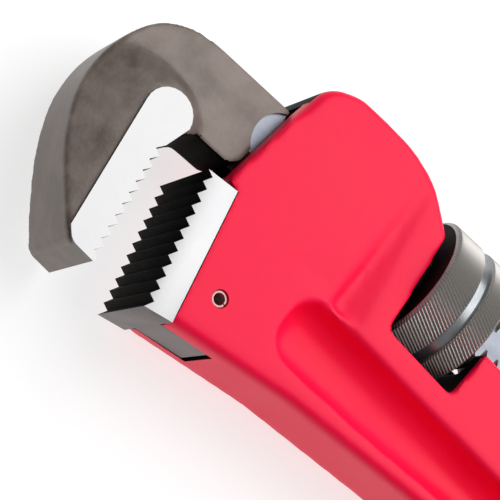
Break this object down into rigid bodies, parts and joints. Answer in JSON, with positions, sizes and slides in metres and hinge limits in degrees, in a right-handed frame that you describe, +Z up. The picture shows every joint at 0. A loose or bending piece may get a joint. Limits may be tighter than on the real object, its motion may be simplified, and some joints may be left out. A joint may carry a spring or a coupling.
{
  "type": "pipe wrench",
  "caption": "Straight pipe wrench: cast handle with jaw housing, pinned toothed heel jaw, sliding and rocking hook jaw on a threaded shank, and a knurled adjusting nut.",
  "frame": {"origin": "bottom centre of the bounding box, under the middle of the wrench as it lies on its side", "axes": "+X points from the handle's end to the jaw end, +Y to the open mouth of the jaws, +Z up through the thickness"},
  "size_m": [0.3494, 0.0804, 0.037],
  "materials": {
    "casting_enamel": "glossy red enamel over a cast surface",
    "ground_jaw_steel": "ground bright on the sides, dark in the teeth",
    "pin_steel": "satin",
    "forged_steel": "forged and oiled, satin",
    "knurled_steel": "knurled, oiled",
    "spring_steel": "satin"
  },
  "bodies": {
    "handle": {"handle": "casting_enamel", "heel_jaw": "ground_jaw_steel", "heel_jaw_pin": "pin_steel", "flat_spring": "spring_steel", "flat_spring_pin": "pin_steel"},
    "rocker": {"coil_spring": "spring_steel"},
    "hook": {"hook_jaw": "forged_steel"},
    "nut": {"adjusting_nut": "knurled_steel"}
  },
  "joints": [
    {"name": "jaw_rock", "type": "hinge", "parent": "handle", "child": "rocker", "pos_m": [0.07035, -0.02098, 0.0185], "axis": [0, 0, 1], "range_deg": [-2.5, 1.2], "stiffness_Nm_per_rad": 10, "deforming": ["coil_spring", "flat_spring"]},
    {"name": "jaw_slide", "type": "slide", "parent": "rocker", "child": "hook", "axis": [0.9954, 0.0958, 0], "range_m": [-0.0092, 0.038]},
    {"name": "nut_spin", "type": "hinge", "parent": "rocker", "child": "nut", "pos_m": [0.07035, -0.02098, 0.0185], "axis": [0.9954, 0.0958, 0], "range_deg": [-3425, 832]}
  ],
  "couplings": [
    {"joint": "nut_spin", "follows": "jaw_slide", "rad_per_m": -1570.8}
  ]
}
